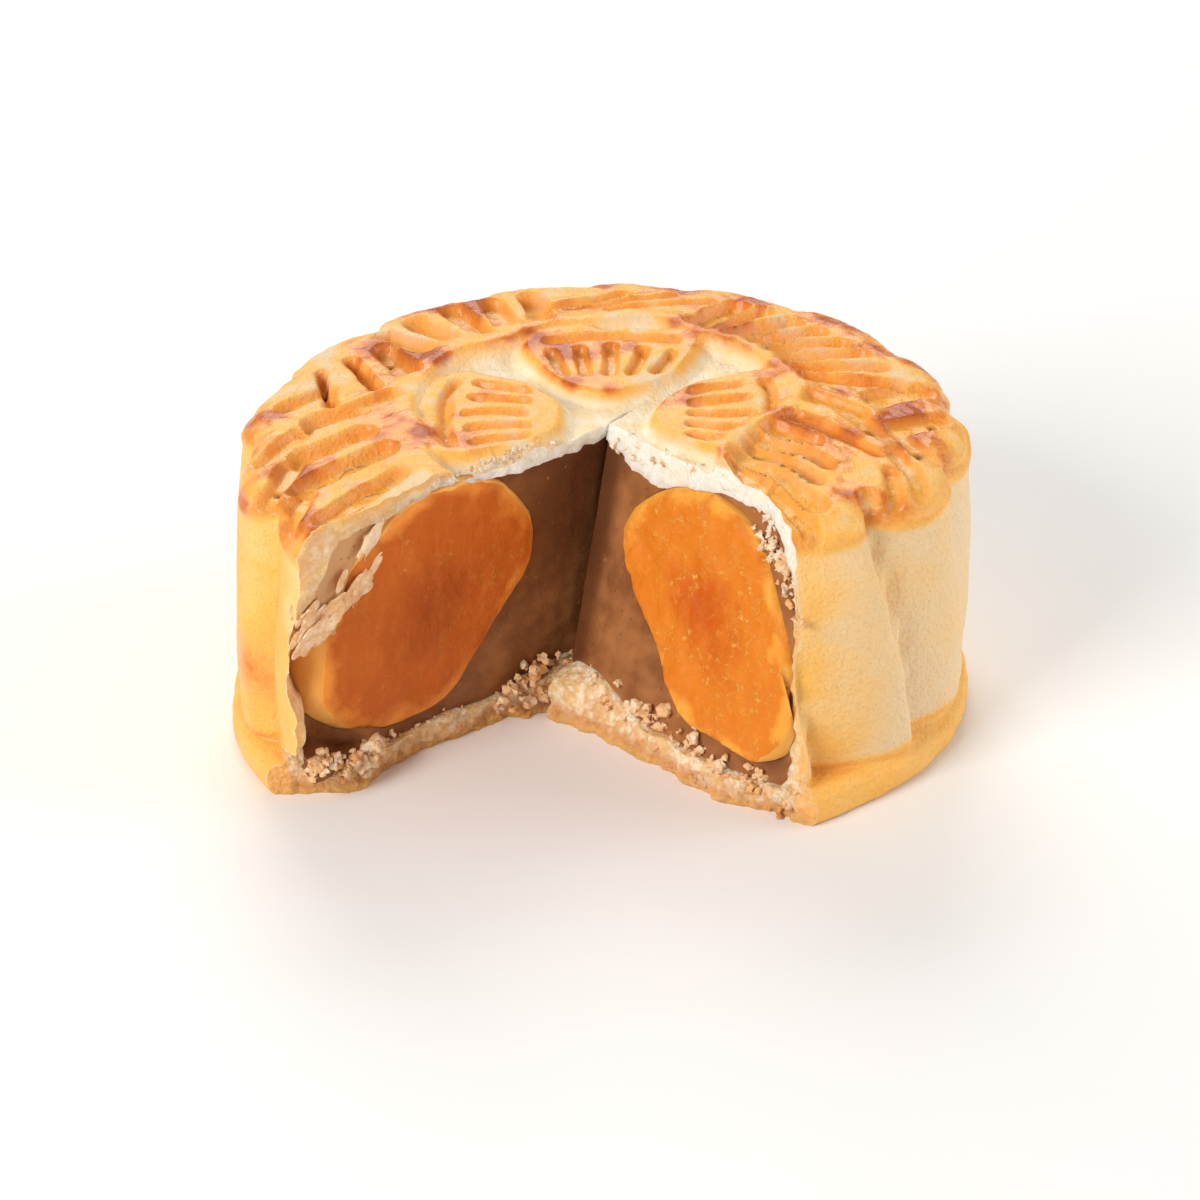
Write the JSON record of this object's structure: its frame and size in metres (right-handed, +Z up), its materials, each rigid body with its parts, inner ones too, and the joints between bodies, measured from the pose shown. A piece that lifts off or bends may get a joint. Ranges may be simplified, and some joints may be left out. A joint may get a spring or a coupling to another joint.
{
  "type": "mooncake",
  "caption": "Round moulded mooncake with a wedge cut out: fluted pastry crust, lotus paste filling and halved salted egg yolks at the cut.",
  "frame": {"origin": "middle of the bounding box's underside, on the surface the cake rests on", "axes": "+Z up through the pressed top, +X to the right along the cake's greatest width, and the wedge opens towards -Y"},
  "size_m": [0.0804, 0.0638, 0.035],
  "materials": {
    "crust": "baked pastry, golden brown and egg-washed on top, pale and matt on the wall",
    "filling": "dense lotus paste with a smooth, slightly waxy cut face",
    "yolk": "firm salted egg yolk, orange, with a smooth to crumbly cut face"
  },
  "bodies": {
    "root": {"crust": "crust", "filling": "filling", "yolk_left": "yolk", "yolk_right": "yolk"}
  },
  "joints": []
}
